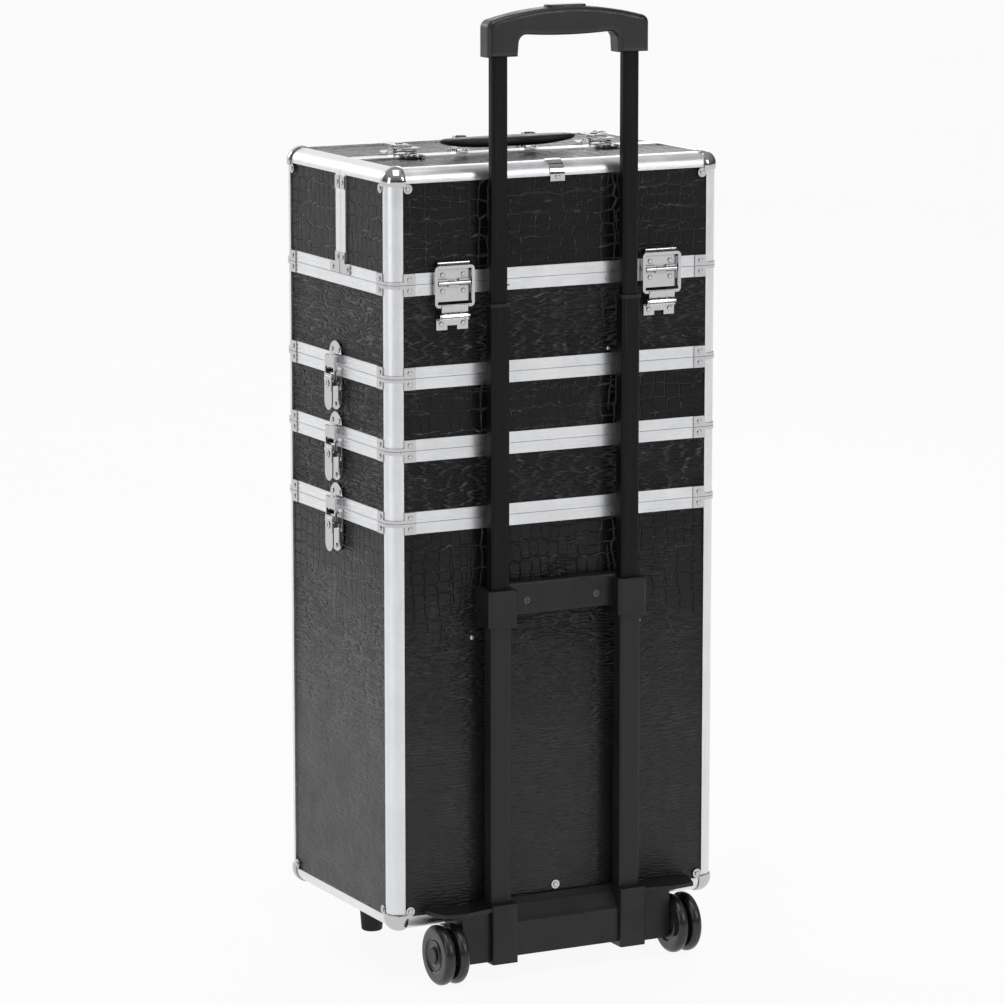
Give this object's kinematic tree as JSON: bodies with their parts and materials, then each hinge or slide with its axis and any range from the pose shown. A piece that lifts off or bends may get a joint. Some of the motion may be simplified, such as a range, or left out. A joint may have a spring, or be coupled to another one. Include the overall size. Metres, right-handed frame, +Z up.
{
  "type": "rolling makeup train case",
  "caption": "Upright wheeled makeup case of stacked aluminium-framed black sections with split lids, side latches, carry handle and telescopic pull handle.",
  "frame": {"origin": "middle of the footprint on the floor", "axes": "+Z up, the front faces -Y, the pull handle and wheels are at +Y, +X is the right-hand latch side seen from the front"},
  "size_m": [0.3604, 0.274, 0.8981],
  "materials": {
    "crocodile_panel": "black crocodile-embossed vinyl on board, semi-gloss",
    "aluminium_profile": "satin anodised, fine lengthwise lines",
    "chromed_steel": "bright plated pressed steel",
    "black_moulding": "satin black moulded plastic",
    "grip_plastic": "charcoal moulded plastic, fine grain",
    "painted_tube": "matte black coated steel tube",
    "wheel_plastic": "glossy black moulded plastic",
    "foot_rubber": "black moulded foot",
    "tube_plastic": "black plastic glide",
    "steel_rod": "plain turned steel"
  },
  "bodies": {
    "bottom_case": {"bottom_case_panels": "crocodile_panel", "bottom_case_frame": "aluminium_profile", "bottom_case_hardware": "chromed_steel", "trolley_base": "black_moulding", "outer_tubes": "painted_tube", "tube_collar": "black_moulding", "trolley_screws": "chromed_steel", "wheel_axles": "steel_rod", "front_feet": "foot_rubber"},
    "lower_tray": {"lower_tray_panels": "crocodile_panel", "lower_tray_frame": "aluminium_profile", "lower_tray_hardware": "chromed_steel"},
    "upper_tray": {"upper_tray_panels": "crocodile_panel", "upper_tray_frame": "aluminium_profile", "upper_tray_hardware": "chromed_steel"},
    "top_case": {"top_case_panels": "crocodile_panel", "top_case_frame": "aluminium_profile", "top_case_hardware": "chromed_steel", "lid_hinge_lower_leaves": "chromed_steel", "lid_stay_anchors": "chromed_steel"},
    "rear_lid": {"rear_lid_panels": "crocodile_panel", "rear_lid_frame": "aluminium_profile", "rear_lid_hardware": "chromed_steel", "rear_lid_hinge_leaves": "chromed_steel"},
    "front_lid": {"front_lid_panels": "crocodile_panel", "front_lid_frame": "aluminium_profile", "front_lid_hardware": "chromed_steel", "front_lid_hinge_leaves": "chromed_steel", "carry_handle_brackets": "chromed_steel"},
    "rear_stays": {"rear_lid_stays": "chromed_steel"},
    "front_stays": {"front_lid_stays": "chromed_steel"},
    "carry_handle": {"carry_handle": "grip_plastic"},
    "handle_middle_stage": {"mid_tubes": "painted_tube", "mid_tube_rings": "tube_plastic", "tube_glides_mid": "tube_plastic"},
    "handle_inner_stage": {"inner_tubes": "painted_tube", "pull_grip": "grip_plastic", "tube_glides_inner": "tube_plastic", "release_rods": "steel_rod"},
    "release_button": {"release_button": "grip_plastic"},
    "lower_left_latch_lever": {"lower_left_latch_lever": "chromed_steel"},
    "lower_left_latch_yoke": {"lower_left_latch_yoke": "chromed_steel"},
    "lower_right_latch_lever": {"lower_right_latch_lever": "chromed_steel"},
    "lower_right_latch_yoke": {"lower_right_latch_yoke": "chromed_steel"},
    "middle_left_latch_lever": {"middle_left_latch_lever": "chromed_steel"},
    "middle_left_latch_yoke": {"middle_left_latch_yoke": "chromed_steel"},
    "middle_right_latch_lever": {"middle_right_latch_lever": "chromed_steel"},
    "middle_right_latch_yoke": {"middle_right_latch_yoke": "chromed_steel"},
    "upper_left_latch_lever": {"upper_left_latch_lever": "chromed_steel"},
    "upper_left_latch_yoke": {"upper_left_latch_yoke": "chromed_steel"},
    "upper_right_latch_lever": {"upper_right_latch_lever": "chromed_steel"},
    "upper_right_latch_yoke": {"upper_right_latch_yoke": "chromed_steel"},
    "lid_left_latch_lever": {"lid_left_latch_lever": "chromed_steel"},
    "lid_left_latch_yoke": {"lid_left_latch_yoke": "chromed_steel"},
    "lid_right_latch_lever": {"lid_right_latch_lever": "chromed_steel"},
    "lid_right_latch_yoke": {"lid_right_latch_yoke": "chromed_steel"},
    "right_inner_wheel": {"right_inner_wheel": "wheel_plastic"},
    "right_outer_wheel": {"right_outer_wheel": "wheel_plastic"},
    "left_inner_wheel": {"left_inner_wheel": "wheel_plastic"},
    "left_outer_wheel": {"left_outer_wheel": "wheel_plastic"}
  },
  "joints": [
    {"name": "lower_tray_lift", "type": "slide", "parent": "bottom_case", "child": "lower_tray", "axis": [0, 0, 1], "range_m": [0, 0.03]},
    {"name": "upper_tray_lift", "type": "slide", "parent": "lower_tray", "child": "upper_tray", "axis": [0, 0, 1], "range_m": [0, 0.03]},
    {"name": "top_case_lift", "type": "slide", "parent": "upper_tray", "child": "top_case", "axis": [0, 0, 1], "range_m": [0, 0.03]},
    {"name": "rear_lid_hinge", "type": "hinge", "parent": "top_case", "child": "rear_lid", "pos_m": [0, 0.097, 0.6498], "axis": [-1, 0, 0], "range_deg": [0, 2]},
    {"name": "front_lid_hinge", "type": "hinge", "parent": "top_case", "child": "front_lid", "pos_m": [0, -0.134, 0.6498], "axis": [1, 0, 0], "range_deg": [0, 95]},
    {"name": "rear_stay_swing", "type": "hinge", "parent": "top_case", "child": "rear_stays", "pos_m": [0, 0.098, 0.6198], "axis": [-1, 0, 0], "range_deg": [0, 1.2]},
    {"name": "front_stay_swing", "type": "hinge", "parent": "top_case", "child": "front_stays", "pos_m": [0, -0.135, 0.6198], "axis": [1, 0, 0], "range_deg": [0, 53.5]},
    {"name": "carry_handle_swing", "type": "hinge", "parent": "front_lid", "child": "carry_handle", "pos_m": [0, -0.032, 0.7644], "axis": [1, 0, 0], "range_deg": [0, 180]},
    {"name": "middle_stage_slide", "type": "slide", "parent": "bottom_case", "child": "handle_middle_stage", "axis": [0, 0, 1], "range_m": [-0.255, 0]},
    {"name": "inner_stage_slide", "type": "slide", "parent": "handle_middle_stage", "child": "handle_inner_stage", "axis": [0, 0, 1], "range_m": [-0.222, 0]},
    {"name": "release_button_press", "type": "slide", "parent": "handle_inner_stage", "child": "release_button", "axis": [0, 0, 1], "range_m": [-0.005, 0], "stiffness_N_per_m": 400},
    {"name": "lower_left_lever_swing", "type": "hinge", "parent": "bottom_case", "child": "lower_left_latch_lever", "pos_m": [-0.1736, -0.0185, 0.4228], "axis": [0, 1, 0], "range_deg": [0, 95]},
    {"name": "lower_left_yoke_swing", "type": "hinge", "parent": "lower_left_latch_lever", "child": "lower_left_latch_yoke", "pos_m": [-0.1764, -0.0185, 0.4178], "axis": [0, 1, 0], "range_deg": [-95, 0]},
    {"name": "lower_right_lever_swing", "type": "hinge", "parent": "bottom_case", "child": "lower_right_latch_lever", "pos_m": [0.1736, -0.0185, 0.4228], "axis": [0, -1, 0], "range_deg": [0, 95]},
    {"name": "lower_right_yoke_swing", "type": "hinge", "parent": "lower_right_latch_lever", "child": "lower_right_latch_yoke", "pos_m": [0.1764, -0.0185, 0.4178], "axis": [0, -1, 0], "range_deg": [-95, 0]},
    {"name": "middle_left_lever_swing", "type": "hinge", "parent": "lower_tray", "child": "middle_left_latch_lever", "pos_m": [-0.1736, -0.0185, 0.4893], "axis": [0, 1, 0], "range_deg": [0, 95]},
    {"name": "middle_left_yoke_swing", "type": "hinge", "parent": "middle_left_latch_lever", "child": "middle_left_latch_yoke", "pos_m": [-0.1764, -0.0185, 0.4843], "axis": [0, 1, 0], "range_deg": [-95, 0]},
    {"name": "middle_right_lever_swing", "type": "hinge", "parent": "lower_tray", "child": "middle_right_latch_lever", "pos_m": [0.1736, -0.0185, 0.4893], "axis": [0, -1, 0], "range_deg": [0, 95]},
    {"name": "middle_right_yoke_swing", "type": "hinge", "parent": "middle_right_latch_lever", "child": "middle_right_latch_yoke", "pos_m": [0.1764, -0.0185, 0.4843], "axis": [0, -1, 0], "range_deg": [-95, 0]},
    {"name": "upper_left_lever_swing", "type": "hinge", "parent": "upper_tray", "child": "upper_left_latch_lever", "pos_m": [-0.1736, -0.0185, 0.5555], "axis": [0, 1, 0], "range_deg": [0, 95]},
    {"name": "upper_left_yoke_swing", "type": "hinge", "parent": "upper_left_latch_lever", "child": "upper_left_latch_yoke", "pos_m": [-0.1764, -0.0185, 0.5505], "axis": [0, 1, 0], "range_deg": [-95, 0]},
    {"name": "upper_right_lever_swing", "type": "hinge", "parent": "upper_tray", "child": "upper_right_latch_lever", "pos_m": [0.1736, -0.0185, 0.5555], "axis": [0, -1, 0], "range_deg": [0, 95]},
    {"name": "upper_right_yoke_swing", "type": "hinge", "parent": "upper_right_latch_lever", "child": "upper_right_latch_yoke", "pos_m": [0.1764, -0.0185, 0.5505], "axis": [0, -1, 0], "range_deg": [-95, 0]},
    {"name": "lid_left_lever_swing", "type": "hinge", "parent": "front_lid", "child": "lid_left_latch_lever", "pos_m": [-0.102, -0.017, 0.7586], "axis": [-1, 0, 0], "range_deg": [0, 95]},
    {"name": "lid_left_yoke_swing", "type": "hinge", "parent": "lid_left_latch_lever", "child": "lid_left_latch_yoke", "pos_m": [-0.102, -0.022, 0.7614], "axis": [-1, 0, 0], "range_deg": [-95, 0]},
    {"name": "lid_right_lever_swing", "type": "hinge", "parent": "front_lid", "child": "lid_right_latch_lever", "pos_m": [0.102, -0.017, 0.7586], "axis": [-1, 0, 0], "range_deg": [0, 95]},
    {"name": "lid_right_yoke_swing", "type": "hinge", "parent": "lid_right_latch_lever", "child": "lid_right_latch_yoke", "pos_m": [0.102, -0.022, 0.7614], "axis": [-1, 0, 0], "range_deg": [-95, 0]},
    {"name": "right_inner_wheel_spin", "type": "hinge", "parent": "bottom_case", "child": "right_inner_wheel", "pos_m": [0.1153, 0.109, 0.028], "axis": [1, 0, 0], "continuous": true},
    {"name": "right_outer_wheel_spin", "type": "hinge", "parent": "bottom_case", "child": "right_outer_wheel", "pos_m": [0.1295, 0.109, 0.028], "axis": [1, 0, 0], "continuous": true},
    {"name": "left_inner_wheel_spin", "type": "hinge", "parent": "bottom_case", "child": "left_inner_wheel", "pos_m": [-0.1153, 0.109, 0.028], "axis": [1, 0, 0], "continuous": true},
    {"name": "left_outer_wheel_spin", "type": "hinge", "parent": "bottom_case", "child": "left_outer_wheel", "pos_m": [-0.1295, 0.109, 0.028], "axis": [1, 0, 0], "continuous": true}
  ],
  "couplings": [
    {"joint": "rear_stay_swing", "follows": "rear_lid_hinge", "ratio": 0.56},
    {"joint": "front_stay_swing", "follows": "front_lid_hinge", "ratio": 0.56},
    {"joint": "lower_left_yoke_swing", "follows": "lower_left_lever_swing", "ratio": -1},
    {"joint": "lower_right_yoke_swing", "follows": "lower_right_lever_swing", "ratio": -1},
    {"joint": "middle_left_yoke_swing", "follows": "middle_left_lever_swing", "ratio": -1},
    {"joint": "middle_right_yoke_swing", "follows": "middle_right_lever_swing", "ratio": -1},
    {"joint": "upper_left_yoke_swing", "follows": "upper_left_lever_swing", "ratio": -1},
    {"joint": "upper_right_yoke_swing", "follows": "upper_right_lever_swing", "ratio": -1},
    {"joint": "lid_left_yoke_swing", "follows": "lid_left_lever_swing", "ratio": -1},
    {"joint": "lid_right_yoke_swing", "follows": "lid_right_lever_swing", "ratio": -1}
  ]
}
